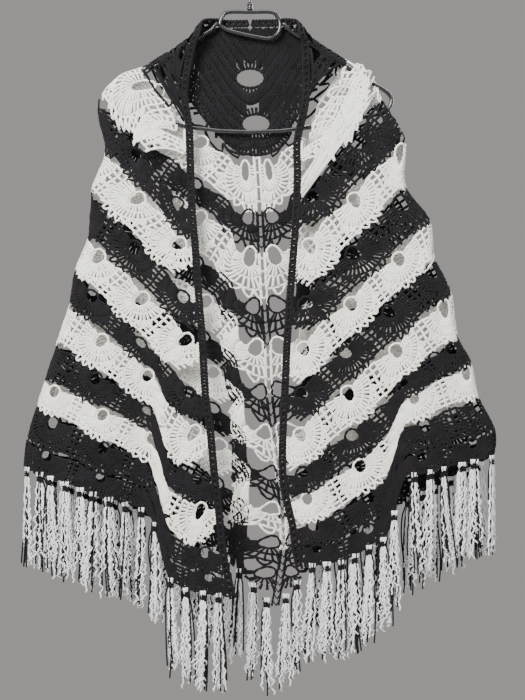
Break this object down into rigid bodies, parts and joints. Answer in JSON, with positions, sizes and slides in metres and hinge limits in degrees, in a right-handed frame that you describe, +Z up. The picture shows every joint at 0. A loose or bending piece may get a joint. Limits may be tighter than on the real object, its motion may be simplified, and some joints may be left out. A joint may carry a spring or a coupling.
{
  "type": "crochet shawl on a clothes hanger",
  "caption": "Black and ivory fan-lace crochet shawl with tassel fringe, hung open over a black wire hanger.",
  "frame": {"origin": "inner top of the hanger's hook, where it rests on a rail", "axes": "+Z up, +X to the right seen from the front, the front with its two hanging edges faces -Y"},
  "size_m": [0.7081, 0.0756, 1.1122],
  "materials": {
    "yarn_body": "soft matt yarn, ivory and black in bands",
    "yarn_black": "soft matt black yarn",
    "yarn_fringe": "crinkled ivory and straight black yarn",
    "hanger_gloss": "glossy black coating on wire"
  },
  "bodies": {
    "root": {"shawl_front_left": "yarn_body", "shawl_front_right": "yarn_body", "shawl_back": "yarn_body", "edging_left": "yarn_black", "edging_right": "yarn_black", "fringe_front_left_1": "yarn_fringe", "fringe_front_left_2": "yarn_fringe", "fringe_front_left_3": "yarn_fringe", "fringe_front_right_1": "yarn_fringe", "fringe_front_right_2": "yarn_fringe", "fringe_front_right_3": "yarn_fringe", "fringe_back_left_1": "yarn_fringe", "fringe_back_left_2": "yarn_fringe", "fringe_back_right_1": "yarn_fringe", "fringe_back_right_2": "yarn_fringe", "hanger_frame": "hanger_gloss", "neck_loop": "hanger_gloss", "hanger_hook": "hanger_gloss", "hook_ferrule": "hanger_gloss"}
  },
  "joints": []
}
